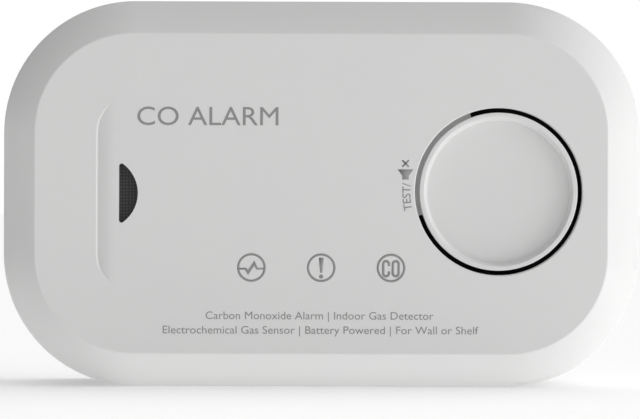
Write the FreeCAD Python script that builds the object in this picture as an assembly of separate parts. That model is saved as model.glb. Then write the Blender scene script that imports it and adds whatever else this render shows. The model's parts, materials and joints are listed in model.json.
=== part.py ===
import FreeCAD, Part
import math
import os

V = FreeCAD.Vector

# Millimetres. +X is to the right of the alarm's face, +Z is up and the face looks along -Y.
# The origin is under the middle of the case, on the surface that the alarm stands on.

# Case
WIDTH = 120.0
HEIGHT = 72.7
DEPTH = 36.0
CORNER_R = 24.9
BAND_WIDTH = 6.4  # the flat face stops this far inside the widest outline
BAND_DEPTH = 7.0
BAND_BULGE = 0.55  # how far the sloping band's middle stands out of its chord
FACE_EDGE_R = 0.5
RIM_R = 2.5
BACK_EDGE_R = 3.0
FACE_WALL = 2.0
SIDE_WALL = 2.2
PARTING_Y = 4.0  # where the front cover meets the rear housing
SEAM = 0.5
LIP_THICK = 1.2
LIP_HEIGHT = 2.4
SLIP_FIT = 0.1  # clearance between parts that drop into each other
ROOT = 0.5  # how far a feature sinks into the wall that it grows from
THROUGH = 1.0  # how far a cutting tool passes a face
ROUND_MID = 1 - math.sqrt(0.5)  # how far a quarter round's middle is from each side, in radii

FRONT_Y = -DEPTH / 2
BACK_Y = DEPTH / 2
MID_Z = HEIGHT / 2
CORNER_X = WIDTH / 2 - CORNER_R
CORNER_UP = HEIGHT / 2 - CORNER_R
BAND_END_Y = FRONT_Y + BAND_DEPTH
FACE_IN_Y = FRONT_Y + FACE_WALL
BACK_IN_Y = BACK_Y - FACE_WALL

# Test button, its surround and its hinge. Angles are seen from the front, from +X towards +Z.
BUTTON_X = 33.2
BUTTON_Z = MID_Z + 0.5
BUTTON_R = 14.78
OPENING_R = 15.65
OPENING_EDGE_R = 0.25
DISH_R = 13.3
DISH_DEPTH = 1.8
DISH_SAG = 0.1
BUTTON_RIM = 0.73
BUTTON_EDGE_R = 0.2
SKIRT_END_Y = -12.5
SKIRT_WALL = 1.5
BUTTON_WEB = 1.6
STEM_R = 2.4
STEM_TIP_Y = -9.7
TAB_FROM = 110.0
TAB_TO = 197.0
TAB_R = 16.9
TAB_FRONT_Y = -15.8
TAB_THICK = 1.3
TAB_CLEAR = 4.0  # degrees between the tab and the surround at each end
HINGE_ANGLE = (TAB_FROM + TAB_TO) / 2
HINGE_R = 18.3
HINGE_Y = -14.8
PIVOT_R = 0.7
PIVOT_REACH = 5.2
EAR_THICK = 1.4
EAR_GAP = 0.2
EAR_OVER = 1.5
RUN_FIT = 0.05
WELL_R = 16.2
WELL_WALL = 1.2
WELL_FLOOR_Y = -8.2
WELL_FLOOR = 1.0
WELL_HOLE_R = 5.2
FLANGE_Y = -12.8
FLANGE_THICK = 1.2
FLANGE_R = 20.6
STAKE_R = 1.1
STAKE_HEAD = 0.6
STAKE_OUT = 19.0
STAKE_ANGLES = (20.0, 80.0, 240.0, 320.0)

# Sound slot, its screen, the groove beside it and the sounder
SLOT_X = -37.8
SLOT_WIDTH = 3.56
SLOT_HEIGHT = 11.9
SLOT_CORNER_R = 0.5
SCREEN_WIDTH = 6.6
SCREEN_HEIGHT = 14.2
SCREEN_THICK = 0.6
GROOVE_X = -42.05
GROOVE_WIDTH = 3.4
GROOVE_DEPTH = 0.9
GROOVE_WALL = 0.38  # how far the steep wall leans in
GROOVE_STRAIGHT = 11.3  # half the straight part's length
GROOVE_CURL_R = 6.8
SOUNDER_X = SLOT_X + SLOT_WIDTH / 2
HORN_R = 15.2
HORN_END_Y = -7.6
HORN_PORT_R = 6.2
HORN_FLOOR = 1.2
HORN_BORE_R = 12.2
COLLAR_WALL = 1.2
COLLAR_HEIGHT = 3.5
PIEZO_Y = -10.0
PIEZO_R = 13.5
PIEZO_PLATE = 0.25
CERAMIC_R = 9.5
CERAMIC_THICK = 0.2
GASKET_THICK = 0.6
RETAINER_WALL = 1.5
CONTACT_PIN_R = 0.8
CONTACT_PIN_OUT = 10.8

# Circuit board and its parts
BOARD_Y = -5.0
BOARD_THICK = 1.6
BOARD_BACK_Y = BOARD_Y + BOARD_THICK
BOARD_WIDTH = 106.0
BOARD_HEIGHT = 60.0
BOARD_CORNER = 20.0
BOARD_SCREWS = ((0.0, 24.0), (-22.0, -25.0), (20.0, -25.0))
BOARD_SCREW_R = 1.0
BOARD_SCREW_HEAD_R = 2.0
BOARD_SCREW_HEAD = 1.2
BOARD_SCREW_REACH = 5.0
BOARD_HOLE_END_Y = -13.0
PILLAR_R = 3.0
BOSS_CLEAR_R = 4.0
ICON_X = 0.1
ICON_SPACING = 13.05
ICON_Z = MID_Z - 13.85
GUIDE_R = 2.4
GUIDE_POCKET = 1.2
GUIDE_REACH = 1.1
GUIDE_END_Y = BOARD_Y - 1.9
SHROUD_R = 3.6
SHROUD_WEB_DEEP = 4.0
SHROUD_WEB_HALF = 1.0
LED_SIZE = (3.0, 1.4, 2.0)
SENSOR_X = -30.0
SENSOR_Z = 53.85
SENSOR_R = 10.0
SENSOR_FRONT_Y = -2.4
SENSOR_BACK_Y = 10.6
SENSOR_EDGE_R = 0.8
SENSOR_INLET_R = 3.0
SENSOR_PIN_OUT = 6.5
SENSOR_PIN_R = 0.5
SENSOR_PAD_R = 6.0
FILTER_R = 4.0
FILTER_THICK = 0.8
SWITCH_SIZE = 6.0
SWITCH_TOP_Y = -8.2
PLUNGER_R = 1.6
PLUNGER_TIP_Y = -9.5
PLUNGER_SUNK = 0.6
SWITCH_WELL = 1.4
SWITCH_COVER = 0.3

# Small parts on the board. Heights up the board are from the case's middle.
CHIP_X = 4.0
CHIP_LOW = 1.6
CHIP_WIDTH = 7.0
CHIP_LENGTH = 12.8
CHIP_THICK = 2.3
CHIP_LIFT = 0.1
LEGS_A_SIDE = 10
LEG_PITCH = 1.27
LEG_REACH = 1.5
LEG_WIDTH = 0.4
LEG_THICK = 0.4
CRYSTAL_PLACE = (3.5, -4.0)
CRYSTAL_SIZE = (11.0, 3.5, 4.6)
CAPACITOR_PLACES = ((-11.5, 12.0), (-11.5, 21.0))
CAPACITOR_R = 3.15
CAPACITOR_HEIGHT = 7.0
CAPACITOR_EDGE_R = 0.4
RESISTOR_XS = (-4.0, 0.0, 4.0, 8.0)
RESISTOR_UPS = (16.2, 18.4)
RESISTOR_SIZE = (2.0, 0.5, 1.2)
INDUCTOR_PLACE = (-11.0, 1.0)
INDUCTOR_R = 4.0
INDUCTOR_WAIST_R = 3.4
INDUCTOR_HEIGHT = 6.0
INDUCTOR_END = 1.0

# Case screws
SCREW_OUT = 12.7  # each way from the corner's axis
SCREW_SEAT_Y = 11.0
SCREW_R = 1.45
SCREW_END_Y = -6.0
SCREW_HOLE_END_Y = -12.0
SCREW_CLEAR = 0.25
SCREW_HEAD_R = 2.7
SCREW_HEAD = 1.8
SCREW_SOCKET_R = 1.0
SCREW_SOCKET = 1.0
COUNTERBORE_R = 3.0
COVER_BOSS_R = 3.3
REAR_BOSS_R = 3.9

# Cells, their bay and the door
CELL_R = 7.1
CELL_LENGTH = 50.5
CELL_EDGE_R = 0.6
NUB_R = 2.75
NUB_LENGTH = 1.0
CELL_Y = 8.7
CELL_ZS = (14.4, 29.2)
BAY_X = 30.0
BAY_LOW_Z = 6.6
BAY_HIGH_Z = 37.4
BAY_FRONT_Y = 1.4
BAY_WALL = 1.2
BAY_FLOOR = 1.0
DOOR_X = 31.2
DOOR_TOP_Z = 38.2
DOOR_IN_Y = 16.2
DOOR_GAP = 0.3
DOOR_HINGE_Y = 16.6
DOOR_HINGE_Z = 6.9
KNUCKLE_R = 1.4
DOOR_PIN_R = 0.8
DOOR_PIN_REACH = 1.7
CHEEK_WIDTH = 3.0
CHEEK_FRONT_Y = 14.6
CHEEK_LOW_Z = 5.2
CHEEK_HIGH_Z = 8.6
SCOOP_R = 6.0
SCOOP_WIDTH = 16.0
SCOOP_OUT = 5.0  # how far the scoop's axis stands behind the door
SCOOP_DOWN = 4.5
CONTACT_THICK = 0.4
CONTACT_FRONT_Y = 3.5
CONTACT_BACK_Y = 13.9
CONTACT_OVER = 6.0  # from a cell's axis to the strip's end
LEAF_SPAN = 9.0
LEAF_WIDTH = 5.0
TAIL_WIDTH = 2.0

# Wall plate, its recess and its lugs
PLATE_WIDTH = 70.0
PLATE_HEIGHT = 21.5
PLATE_TOP_Z = 69.0
PLATE_THICK = 2.8
PLATE_TRAVEL = 8.0
RECESS_DEPTH = 3.0
RECESS_FLOOR = 1.6
RECESS_LOW_Z = 39.4
RECESS_HIGH_Z = 69.2
LUG_X = 14.0
LUG_Z = 61.0
LUG_NECK = 5.0
LUG_NECK_HIGH = 4.0
LUG_HEAD = 9.0
LUG_HEAD_HIGH = 5.0
LUG_HEAD_THICK = 1.5
WALL_SLOT_SPACING = 50.0
WALL_SLOT_R = 2.1
WALL_SLOT_LENGTH = 8.0
PLATE_CORNER_R = 4.0
RECESS_RIM_X = 1.8
RECESS_RIM_Z = 1.5
PLATE_SIDE_FIT = 0.3
LUG_LIFT = 0.2  # between the lug's head and the recess floor

# Vents through the back
VENT_XS = (42.0, 45.0, 48.0, 51.0)
VENT_WIDTH = 1.6
VENT_HEIGHT = 16.0


def block(x0, x1, y0, y1, z0, z1):
    """Box between two corners."""
    return Part.makeBox(x1 - x0, y1 - y0, z1 - z0, V(x0, y0, z0))


def rod(x, z, r, y0, y1):
    """Cylinder along Y."""
    return Part.makeCylinder(r, y1 - y0, V(x, y0, z), V(0, 1, 0))


def ring(x, z, r_out, r_in, y0, y1):
    """Round tube along Y."""
    return rod(x, z, r_out, y0, y1).cut(rod(x, z, r_in, y0, y1))


def join(shapes):
    """One solid from shapes that meet."""
    return shapes[0].multiFuse(shapes[1:]).removeSplitter()


def cut_all(shape, tools):
    """The shape with every tool taken out of it."""
    for tool in tools:
        shape = shape.cut(tool)
    return shape


def plate(x, z, width, height, r, y0, y1):
    """Flat plate across Y with rounded corners, centred on x and z."""
    sheet = block(x - width / 2, x + width / 2, y0, y1, z - height / 2, z + height / 2)
    uprights = [edge for edge in sheet.Edges if abs(edge.tangentAt(0).y) > 0.9]
    return sheet.makeFillet(r, uprights)


def path_face(start, steps, place):
    """Closed flat face from a start point and steps: two numbers run straight to a point, and four
    run along an arc through the first point to the second."""
    edges = []
    here = start
    for step in steps + [start]:
        end = step[-2:]
        if len(step) == 4:
            edges.append(Part.Arc(place(*here), place(*step[:2]), place(*end)).toShape())
        else:
            edges.append(Part.LineSegment(place(*here), place(*end)).toShape())
        here = end
    return Part.Face(Part.Wire(edges))


def turned(x, z, start, steps):
    """Solid of revolution about a line along Y, from a profile of (radius, y)."""
    face = path_face(start, steps, lambda r, y: V(x + r, y, z))
    return face.revolve(V(x, 0, z), V(0, 1, 0), 360)


def swung(shape, angle):
    """A shape built to the right of the button's centre, swung round the button by an angle."""
    return shape.rotated(V(BUTTON_X, 0, BUTTON_Z), V(0, 1, 0), -angle)


def around_button(r, angle):
    """Point on a circle round the button's centre."""
    turn = math.radians(angle)
    return BUTTON_X + r * math.cos(turn), BUTTON_Z + r * math.sin(turn)


def button_sector(r_in, r_out, start_angle, end_angle, y0, y1):
    """Arc-shaped strip round the button's centre."""
    middle = (start_angle + end_angle) / 2
    start = around_button(r_in, start_angle)
    steps = [
        around_button(r_out, start_angle),
        around_button(r_out, middle) + around_button(r_out, end_angle),
        around_button(r_in, end_angle),
        around_button(r_in, middle) + start,
    ]
    face = path_face(start, steps[:-1], lambda x, z: V(x, y0, z))
    inner = rod(BUTTON_X, BUTTON_Z, r_in, y0, y1)
    return face.extrude(V(0, y1 - y0, 0)).cut(inner)


def case_solid(start, steps):
    """Body with the case's outline. Its profile is in (distance out from a corner's axis, y). It
    runs straight along the sides and turns about the four corner axes."""
    corner_z = MID_Z + CORNER_UP
    low_y = start[1]
    high_y = steps[-1][-1]
    core = block(0, CORNER_X, low_y, high_y, MID_Z, corner_z)
    side = path_face(start, steps, lambda u, y: V(CORNER_X + u, y, MID_Z))
    top = path_face(start, steps, lambda u, y: V(0, y, corner_z + u))
    corner = path_face(start, steps, lambda u, y: V(CORNER_X + u, y, corner_z))
    quarter = join([
        core,
        side.extrude(V(0, 0, CORNER_UP)),
        top.extrude(V(CORNER_X, 0, 0)),
        corner.revolve(V(CORNER_X, 0, corner_z), V(0, 1, 0), -90),
    ])
    half = join([quarter, quarter.mirror(V(0, 0, 0), V(1, 0, 0))])
    return join([half, half.mirror(V(0, 0, MID_Z), V(0, 0, 1))])


def loop_at(shape, y):
    """The shape's edges that lie in one plane across Y."""
    return [edge for edge in shape.Edges if all(abs(v.Point.y - y) < 0.001 for v in edge.Vertexes)]


def screw_places():
    """The four case screws, each on the diagonal of its corner."""
    reach_x = CORNER_X + SCREW_OUT
    reach_z = CORNER_UP + SCREW_OUT
    return [(sx * reach_x, MID_Z + sz * reach_z) for sx in (-1, 1) for sz in (-1, 1)]


def board_screw_places():
    """The three board screws."""
    return [(x, MID_Z + up) for x, up in BOARD_SCREWS]


def icon_places():
    """The three status lights, left to right."""
    return [(ICON_X + i * ICON_SPACING, ICON_Z) for i in (-1, 0, 1)]


def cover_outside():
    """Outer form of the front cover: flat face, bulging band, round rim and straight sides."""
    face_u = CORNER_R - BAND_WIDTH
    length = math.hypot(BAND_WIDTH, BAND_DEPTH)
    bulge_u = face_u + BAND_WIDTH / 2 + BAND_BULGE * BAND_DEPTH / length
    bulge_y = FRONT_Y + BAND_DEPTH / 2 - BAND_BULGE * BAND_WIDTH / length
    body = case_solid((0, FRONT_Y), [
        (face_u, FRONT_Y),
        (bulge_u, bulge_y, CORNER_R, BAND_END_Y),
        (CORNER_R, PARTING_Y),
        (0, PARTING_Y),
    ])
    body = body.makeFillet(RIM_R, loop_at(body, BAND_END_Y))
    return body.makeFillet(FACE_EDGE_R, loop_at(body, FRONT_Y))


def cover_cavity():
    """Hollow of the front cover, open at the parting line."""
    slope = BAND_WIDTH / BAND_DEPTH
    length = math.hypot(BAND_WIDTH, BAND_DEPTH)
    line_u = CORNER_R - BAND_WIDTH - FACE_WALL * BAND_DEPTH / length
    line_y = FRONT_Y + FACE_WALL * BAND_WIDTH / length
    side_u = CORNER_R - SIDE_WALL
    return case_solid((0, FACE_IN_Y), [
        (line_u + (FACE_IN_Y - line_y) * slope, FACE_IN_Y),
        (side_u, line_y + (side_u - line_u) / slope),
        (side_u, PARTING_Y + 1),
        (0, PARTING_Y + 1),
    ])


def sound_slot():
    """D-shaped prism: a straight left side and a bowed right side, with small round corners."""
    half = SLOT_HEIGHT / 2
    right = SLOT_X + SLOT_WIDTH
    face = path_face((SLOT_X, MID_Z - half), [(right, MID_Z, SLOT_X, MID_Z + half)],
                     lambda x, z: V(x, FRONT_Y - THROUGH, z))
    prism = face.extrude(V(0, FACE_WALL + 2 * THROUGH, 0))
    uprights = [edge for edge in prism.Edges if edge.Length > FACE_WALL and abs(edge.tangentAt(0).y) > 0.9]
    return prism.makeFillet(SLOT_CORNER_R, uprights)


def button_opening():
    """Round hole for the button, with a small round where it meets the face."""
    flare = OPENING_R + OPENING_EDGE_R
    return turned(BUTTON_X, BUTTON_Z, (0, FRONT_Y - THROUGH), [
        (flare, FRONT_Y - THROUGH),
        (flare, FRONT_Y),
        (OPENING_R + ROUND_MID * OPENING_EDGE_R, FRONT_Y + ROUND_MID * OPENING_EDGE_R,
         OPENING_R, FRONT_Y + OPENING_EDGE_R),
        (OPENING_R, FACE_IN_Y + THROUGH),
        (0, FACE_IN_Y + THROUGH),
    ])


def groove_outline(y):
    """Edge of the groove at one depth: upright on the left, with a quarter turn to the right at each
    end. It moves in with depth, as the wall leans."""
    inset = (y - FRONT_Y) * GROOVE_WALL / GROOVE_DEPTH
    r = GROOVE_CURL_R - inset
    axis_x = GROOVE_X + GROOVE_CURL_R
    turn_x = axis_x - r * math.sqrt(0.5)
    turn_up = GROOVE_STRAIGHT + r * math.sqrt(0.5)
    start = (axis_x, MID_Z - GROOVE_STRAIGHT - r)
    return path_face(start, [
        (turn_x, MID_Z - turn_up, GROOVE_X + inset, MID_Z - GROOVE_STRAIGHT),
        (GROOVE_X + inset, MID_Z + GROOVE_STRAIGHT),
        (turn_x, MID_Z + turn_up, axis_x, MID_Z + GROOVE_STRAIGHT + r),
    ], lambda x, z: V(x, y, z)).OuterWire


def groove_tool():
    """Scoop beside the sound slot: a steep wall on the left, whose ends curl to the right, and a
    floor that rises to the right and meets the face flush. The curls run out where the floor does."""
    right = GROOVE_X + GROOVE_WIDTH
    floor_r = (GROOVE_WIDTH ** 2 + GROOVE_DEPTH ** 2) / (2 * GROOVE_DEPTH)
    half_turn = math.asin(GROOVE_WIDTH / floor_r) / 2
    mid_x = right - floor_r * math.sin(half_turn)
    mid_y = FRONT_Y + floor_r * (1 - math.cos(half_turn))
    reach = GROOVE_STRAIGHT + GROOVE_CURL_R
    floor = path_face((GROOVE_X - THROUGH, FRONT_Y - THROUGH), [
        (GROOVE_X - THROUGH, FRONT_Y + GROOVE_DEPTH),
        (GROOVE_X, FRONT_Y + GROOVE_DEPTH),
        (mid_x, mid_y, right, FRONT_Y),
        (right, FRONT_Y - THROUGH),
    ], lambda x, y: V(x, y, MID_Z - reach))
    outlines = [groove_outline(y) for y in (FRONT_Y - THROUGH, FRONT_Y + GROOVE_DEPTH + THROUGH)]
    walls = Part.makeLoft(outlines, True, True)
    return floor.extrude(V(0, 0, 2 * reach)).common(walls)


def front_cover():
    outside = cover_outside()
    shell = outside.cut(cover_cavity())
    root_y = FACE_IN_Y - ROOT
    collar_in = HORN_R + SLIP_FIT
    inside = [rod(x, z, COVER_BOSS_R, root_y, PARTING_Y) for x, z in screw_places()]
    inside += [rod(x, z, PILLAR_R, root_y, BOARD_Y) for x, z in board_screw_places()]
    collar_tip_y = FACE_IN_Y + COLLAR_HEIGHT
    inside.append(ring(SOUNDER_X, MID_Z, collar_in + COLLAR_WALL, collar_in, root_y, collar_tip_y))
    for angle in STAKE_ANGLES:
        x, z = around_button(STAKE_OUT, angle)
        inside.append(rod(x, z, STAKE_R, root_y, FLANGE_Y + FLANGE_THICK + STAKE_HEAD))
    shell = join([shell] + [feature.common(outside) for feature in inside])
    tools = [button_opening(), sound_slot(), groove_tool()]
    tools.append(block(SOUNDER_X - SCREEN_WIDTH / 2, SOUNDER_X + SCREEN_WIDTH / 2,
                       FACE_IN_Y - SCREEN_THICK, FACE_IN_Y,
                       MID_Z - SCREEN_HEIGHT / 2, MID_Z + SCREEN_HEIGHT / 2))
    tools += [rod(x, z, GUIDE_R + SLIP_FIT, FACE_IN_Y - GUIDE_POCKET, FACE_IN_Y) for x, z in icon_places()]
    tools += [rod(x, z, SCREW_R, SCREW_HOLE_END_Y, PARTING_Y) for x, z in screw_places()]
    tools += [rod(x, z, BOARD_SCREW_R, BOARD_HOLE_END_Y, BOARD_Y) for x, z in board_screw_places()]
    return cut_all(shell, tools)


def rear_housing():
    side_u = CORNER_R - SIDE_WALL
    seam_u = CORNER_R - SEAM
    round_in = BACK_EDGE_R * ROUND_MID
    outside = case_solid((0, PARTING_Y), [
        (seam_u, PARTING_Y),
        (seam_u, PARTING_Y + SEAM),
        (CORNER_R, PARTING_Y + SEAM),
        (CORNER_R, BACK_Y - BACK_EDGE_R),
        (CORNER_R - round_in, BACK_Y - round_in, CORNER_R - BACK_EDGE_R, BACK_Y),
        (0, BACK_Y),
    ])
    cavity = case_solid((0, PARTING_Y - 1), [
        (side_u, PARTING_Y - 1), (side_u, BACK_IN_Y - 1), (side_u - 1, BACK_IN_Y), (0, BACK_IN_Y)])
    lip_y = PARTING_Y - LIP_HEIGHT
    lip_out_u = side_u - SLIP_FIT
    lip_out = case_solid((0, lip_y), [(lip_out_u, lip_y), (lip_out_u, PARTING_Y + 1), (0, PARTING_Y + 1)])
    lip_u = lip_out_u - LIP_THICK
    lip_in = case_solid((0, lip_y), [(lip_u, lip_y), (lip_u, PARTING_Y + 1), (0, PARTING_Y + 1)])
    foot_u = side_u + ROOT
    lip_foot = case_solid((0, PARTING_Y), [(foot_u, PARTING_Y), (foot_u, PARTING_Y + 1), (0, PARTING_Y + 1)])
    bay_top_z = BAY_HIGH_Z + BAY_WALL
    recess_y = BACK_Y - RECESS_DEPTH
    root_y = BACK_Y - ROOT
    recess_side = PLATE_WIDTH / 2 + RECESS_RIM_X
    features = [
        outside.cut(cavity),
        lip_out.cut(lip_in),
        lip_foot.cut(lip_in),
        block(-BAY_X - BAY_WALL, BAY_X + BAY_WALL, BAY_FRONT_Y - BAY_FLOOR, root_y,
              BAY_LOW_Z - BAY_WALL, bay_top_z),
        block(-recess_side, recess_side, recess_y - RECESS_FLOOR, root_y,
              bay_top_z - ROOT, RECESS_HIGH_Z + RECESS_RIM_Z),
    ]
    for side in (-1, 1):
        ends = sorted((side * (DOOR_X + DOOR_GAP), side * (DOOR_X + CHEEK_WIDTH)))
        features.append(block(ends[0], ends[1], CHEEK_FRONT_Y, root_y, CHEEK_LOW_Z, CHEEK_HIGH_Z))
    features += [rod(x, z, REAR_BOSS_R, PARTING_Y, root_y) for x, z in screw_places()]
    body = join(features)
    tools = [
        block(-BAY_X, BAY_X, BAY_FRONT_Y, BACK_Y, BAY_LOW_Z, BAY_HIGH_Z),
        block(-DOOR_X - DOOR_GAP, DOOR_X + DOOR_GAP, DOOR_IN_Y, BACK_Y,
              DOOR_HINGE_Z - KNUCKLE_R - DOOR_GAP, DOOR_TOP_Z + DOOR_GAP),
        block(-DOOR_X - DOOR_GAP, DOOR_X + DOOR_GAP, DOOR_HINGE_Y - KNUCKLE_R - DOOR_GAP, BACK_Y,
              DOOR_HINGE_Z - KNUCKLE_R - DOOR_GAP, DOOR_HINGE_Z + KNUCKLE_R + DOOR_GAP),
        plate(0, (RECESS_LOW_Z + RECESS_HIGH_Z) / 2, PLATE_WIDTH + 2 * PLATE_SIDE_FIT,
              RECESS_HIGH_Z - RECESS_LOW_Z, PLATE_CORNER_R, recess_y, BACK_Y),
    ]
    socket_r = DOOR_PIN_R + RUN_FIT
    socket_reach = DOOR_X + DOOR_PIN_REACH + SLIP_FIT
    tools.append(Part.makeCylinder(socket_r, 2 * socket_reach, V(-socket_reach, DOOR_HINGE_Y, DOOR_HINGE_Z),
                                   V(1, 0, 0)))
    for side in (-1, 1):
        middle = side * LUG_X
        low_z = LUG_Z - PLATE_TRAVEL
        head_side = LUG_HEAD / 2 + PLATE_SIDE_FIT
        head_up = LUG_HEAD_HIGH / 2 + PLATE_SIDE_FIT
        neck_side = LUG_NECK / 2 + PLATE_SIDE_FIT
        tools.append(block(middle - head_side, middle + head_side, recess_y - RECESS_FLOOR, recess_y,
                           low_z - head_up, low_z + head_up))
        tools.append(block(middle - neck_side, middle + neck_side, recess_y - RECESS_FLOOR, recess_y,
                           low_z, LUG_Z + LUG_NECK_HIGH / 2 + PLATE_SIDE_FIT))
        tools += [plate(side * x, MID_Z, VENT_WIDTH, VENT_HEIGHT, 0.49 * VENT_WIDTH,
                        BACK_IN_Y - THROUGH, BACK_Y) for x in VENT_XS]
    for x, z in screw_places():
        tools.append(rod(x, z, SCREW_R + SCREW_CLEAR, PARTING_Y, BACK_Y))
        tools.append(rod(x, z, COUNTERBORE_R, SCREW_SEAT_Y, BACK_Y))
    tail_half = TAIL_WIDTH / 2 + PLATE_SIDE_FIT
    for z in CELL_ZS:
        tools.append(block(BAY_X - 1.0, BAY_X, BAY_FRONT_Y - BAY_FLOOR, BAY_FRONT_Y,
                           z - tail_half, z + tail_half))
    return cut_all(body, tools)


def battery_door():
    """Flat door with a hinge knuckle along its foot, two pivot pins and a thumb scoop at its top."""
    panel = block(-DOOR_X, DOOR_X, DOOR_IN_Y, BACK_Y, DOOR_HINGE_Z, DOOR_TOP_Z)
    knuckle = Part.makeCylinder(KNUCKLE_R, 2 * DOOR_X, V(-DOOR_X, DOOR_HINGE_Y, DOOR_HINGE_Z), V(1, 0, 0))
    reach = DOOR_X + DOOR_PIN_REACH
    pins = Part.makeCylinder(DOOR_PIN_R, 2 * reach, V(-reach, DOOR_HINGE_Y, DOOR_HINGE_Z), V(1, 0, 0))
    scoop_start = V(-SCOOP_WIDTH / 2, BACK_Y + SCOOP_OUT, DOOR_TOP_Z - SCOOP_DOWN)
    scoop = Part.makeCylinder(SCOOP_R, SCOOP_WIDTH, scoop_start, V(1, 0, 0))
    return join([panel, knuckle, pins]).cut(scoop)


def wall_plate():
    """Plate that is screwed to the wall. Two T-shaped lugs hold the alarm on it."""
    middle_z = PLATE_TOP_Z - PLATE_HEIGHT / 2
    front_y = BACK_Y - PLATE_THICK
    body = [plate(0, middle_z, PLATE_WIDTH, PLATE_HEIGHT, PLATE_CORNER_R, front_y, BACK_Y)]
    head_y = BACK_Y - RECESS_DEPTH - RECESS_FLOOR - LUG_LIFT
    for side in (-1, 1):
        x = side * LUG_X
        body.append(block(x - LUG_NECK / 2, x + LUG_NECK / 2, head_y - ROOT, front_y + ROOT,
                          LUG_Z - LUG_NECK_HIGH / 2, LUG_Z + LUG_NECK_HIGH / 2))
        body.append(block(x - LUG_HEAD / 2, x + LUG_HEAD / 2, head_y - LUG_HEAD_THICK, head_y,
                          LUG_Z - LUG_HEAD_HIGH / 2, LUG_Z + LUG_HEAD_HIGH / 2))
    slots = [plate(side * WALL_SLOT_SPACING / 2, middle_z, WALL_SLOT_LENGTH, 2 * WALL_SLOT_R,
                   0.999 * WALL_SLOT_R, front_y - THROUGH, BACK_Y + THROUGH) for side in (-1, 1)]
    return cut_all(join(body), slots)


def test_button():
    """Round cap with a shallow dish, a skirt, a middle stem and a hinge tab with two pivots."""
    dish_y = FRONT_Y + DISH_DEPTH
    rim_in = BUTTON_R - BUTTON_RIM
    edge_mid = ROUND_MID * BUTTON_EDGE_R
    cap = turned(BUTTON_X, BUTTON_Z, (0, dish_y + DISH_SAG), [
        (DISH_R / 2, dish_y + 0.75 * DISH_SAG, DISH_R, dish_y),
        (rim_in - BUTTON_EDGE_R, FRONT_Y + BUTTON_EDGE_R),
        (rim_in - BUTTON_EDGE_R + edge_mid, FRONT_Y + edge_mid, rim_in, FRONT_Y),
        (BUTTON_R - BUTTON_EDGE_R, FRONT_Y),
        (BUTTON_R - edge_mid, FRONT_Y + edge_mid, BUTTON_R, FRONT_Y + BUTTON_EDGE_R),
        (BUTTON_R, SKIRT_END_Y),
        (BUTTON_R - SKIRT_WALL, SKIRT_END_Y),
        (BUTTON_R - SKIRT_WALL, dish_y + BUTTON_WEB),
        (0, dish_y + BUTTON_WEB),
    ])
    stem = rod(BUTTON_X, BUTTON_Z, STEM_R, dish_y + BUTTON_WEB - ROOT, STEM_TIP_Y)
    tab = button_sector(BUTTON_R - ROOT, TAB_R, TAB_FROM, TAB_TO, TAB_FRONT_Y, TAB_FRONT_Y + TAB_THICK)
    lug_half = PIVOT_REACH - EAR_THICK
    lug = block(BUTTON_X + TAB_R - PIVOT_R, BUTTON_X + HINGE_R + PIVOT_R,
                HINGE_Y - PIVOT_R, HINGE_Y + PIVOT_R,
                BUTTON_Z - lug_half, BUTTON_Z + lug_half)
    pivot_foot = V(BUTTON_X + HINGE_R, HINGE_Y, BUTTON_Z - PIVOT_REACH)
    pivots = Part.makeCylinder(PIVOT_R, 2 * PIVOT_REACH, pivot_foot)
    return join([cap, stem, tab, swung(lug, HINGE_ANGLE), swung(pivots, HINGE_ANGLE)])


def button_surround():
    """Black well behind the button, with a flange for its stakes and two ears for its pivots."""
    wall = ring(BUTTON_X, BUTTON_Z, WELL_R + WELL_WALL, WELL_R, FACE_IN_Y, WELL_FLOOR_Y + WELL_FLOOR)
    notch = button_sector(WELL_R - 2 * WELL_WALL, WELL_R + 2 * WELL_WALL,
                          TAB_FROM - TAB_CLEAR, TAB_TO + TAB_CLEAR, FACE_IN_Y, FLANGE_Y)
    floor = ring(BUTTON_X, BUTTON_Z, WELL_R + ROOT, WELL_HOLE_R, WELL_FLOOR_Y, WELL_FLOOR_Y + WELL_FLOOR)
    flange = ring(BUTTON_X, BUTTON_Z, FLANGE_R, WELL_R, FLANGE_Y, FLANGE_Y + FLANGE_THICK)
    ears = []
    for side in (-1, 1):
        ends = sorted((side * (PIVOT_REACH + EAR_GAP - EAR_THICK), side * (PIVOT_REACH + EAR_GAP)))
        ear = block(BUTTON_X + TAB_R + SLIP_FIT, BUTTON_X + HINGE_R + EAR_OVER,
                    FACE_IN_Y + SLIP_FIT, FLANGE_Y + ROOT, BUTTON_Z + ends[0], BUTTON_Z + ends[1])
        ears.append(swung(ear, HINGE_ANGLE))
    reach = PIVOT_REACH + THROUGH
    bore = Part.makeCylinder(PIVOT_R + RUN_FIT, 2 * reach, V(BUTTON_X + HINGE_R, HINGE_Y, BUTTON_Z - reach))
    stakes = [rod(*around_button(STAKE_OUT, angle), STAKE_R + SLIP_FIT, FLANGE_Y, FLANGE_Y + FLANGE_THICK)
              for angle in STAKE_ANGLES]
    body = join([wall.cut(notch), floor, flange] + ears)
    return cut_all(body, [swung(bore, HINGE_ANGLE)] + stakes)


def test_switch_base():
    half = SWITCH_SIZE / 2
    base = block(BUTTON_X - half, BUTTON_X + half, SWITCH_TOP_Y, BOARD_Y, BUTTON_Z - half, BUTTON_Z + half)
    return base.cut(rod(BUTTON_X, BUTTON_Z, PLUNGER_R + SLIP_FIT, SWITCH_TOP_Y, SWITCH_TOP_Y + SWITCH_WELL))


def test_switch_cover():
    half = SWITCH_SIZE / 2
    front_y = SWITCH_TOP_Y - SWITCH_COVER
    top = block(BUTTON_X - half, BUTTON_X + half, front_y, SWITCH_TOP_Y, BUTTON_Z - half, BUTTON_Z + half)
    return top.cut(rod(BUTTON_X, BUTTON_Z, PLUNGER_R + SLIP_FIT, front_y, SWITCH_TOP_Y))


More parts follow.
